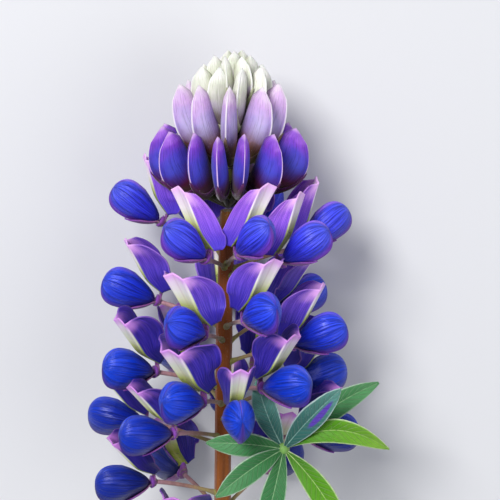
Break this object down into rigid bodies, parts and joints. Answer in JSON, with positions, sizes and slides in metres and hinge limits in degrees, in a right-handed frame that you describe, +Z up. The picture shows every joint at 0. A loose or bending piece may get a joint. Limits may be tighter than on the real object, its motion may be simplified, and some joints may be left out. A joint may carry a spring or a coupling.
{
  "type": "lupin flower spike",
  "caption": "Cut lupin flower spike lying on its side: whorls of blue and violet pea flowers on a brown stem, a cone of closed buds at the tip and one palmate leaf.",
  "frame": {"origin": "middle of the bounding box, on the surface that the spike lies on", "axes": "+Y along the stem from its cut end to the tip, +Z up from the surface; the side that the picture shows faces +Z"},
  "size_m": [0.0606, 0.1208, 0.0473],
  "materials": {
    "banner_1": "satin",
    "banner_2": "satin",
    "banner_3": "satin",
    "banner_4": "satin",
    "banner_5": "satin",
    "wings_1": "satin",
    "wings_2": "satin",
    "wings_3": "satin",
    "wings_4": "satin",
    "wings_5": "satin",
    "stem": "satin",
    "violet_buds": "satin",
    "pale_buds": "matte",
    "leaf": "satin"
  },
  "bodies": {
    "root": {"whorl1_flower1_banner": "banner_1", "whorl1_flower1_wings": "wings_1", "whorl1_flower2_banner": "banner_1", "whorl1_flower2_wings": "wings_1", "whorl1_flower3_banner": "banner_1", "whorl1_flower3_wings": "wings_1", "whorl1_flower4_banner": "banner_1", "whorl1_flower4_wings": "wings_1", "whorl1_flower5_banner": "banner_1", "whorl1_flower5_wings": "wings_1", "whorl1_flower6_banner": "banner_1", "whorl1_flower6_wings": "wings_1", "whorl1_flower7_banner": "banner_1", "whorl1_flower7_wings": "wings_1", "whorl2_flower1_banner": "banner_2", "whorl2_flower1_wings": "wings_2", "whorl2_flower2_banner": "banner_2", "whorl2_flower2_wings": "wings_2", "whorl2_flower3_banner": "banner_2", "whorl2_flower3_wings": "wings_2", "whorl2_flower4_banner": "banner_2", "whorl2_flower4_wings": "wings_2", "whorl2_flower5_banner": "banner_2", "whorl2_flower5_wings": "wings_2", "whorl2_flower6_banner": "banner_2", "whorl2_flower6_wings": "wings_2", "whorl3_flower1_banner": "banner_3", "whorl3_flower1_wings": "wings_3", "whorl3_flower2_banner": "banner_3", "whorl3_flower2_wings": "wings_3", "whorl3_flower3_banner": "banner_3", "whorl3_flower3_wings": "wings_3", "whorl3_flower4_banner": "banner_3", "whorl3_flower4_wings": "wings_3", "whorl3_flower5_banner": "banner_3", "whorl3_flower5_wings": "wings_3", "whorl3_flower6_banner": "banner_3", "whorl3_flower6_wings": "wings_3", "whorl3_flower7_banner": "banner_3", "whorl3_flower7_wings": "wings_3", "whorl4_flower1_banner": "banner_4", "whorl4_flower1_wings": "wings_4", "whorl4_flower2_banner": "banner_4", "whorl4_flower2_wings": "wings_4", "whorl4_flower3_banner": "banner_4", "whorl4_flower3_wings": "wings_4", "whorl4_flower4_banner": "banner_4", "whorl4_flower4_wings": "wings_4", "whorl5_flower1_banner": "banner_5", "whorl5_flower1_wings": "wings_5", "whorl5_flower2_banner": "banner_5", "whorl5_flower2_wings": "wings_5", "whorl5_flower3_banner": "banner_5", "whorl5_flower3_wings": "wings_5", "whorl5_flower4_banner": "banner_5", "whorl5_flower4_wings": "wings_5", "stem": "stem", "violet_buds": "violet_buds", "pale_buds": "pale_buds", "leaf": "leaf"}
  },
  "joints": []
}
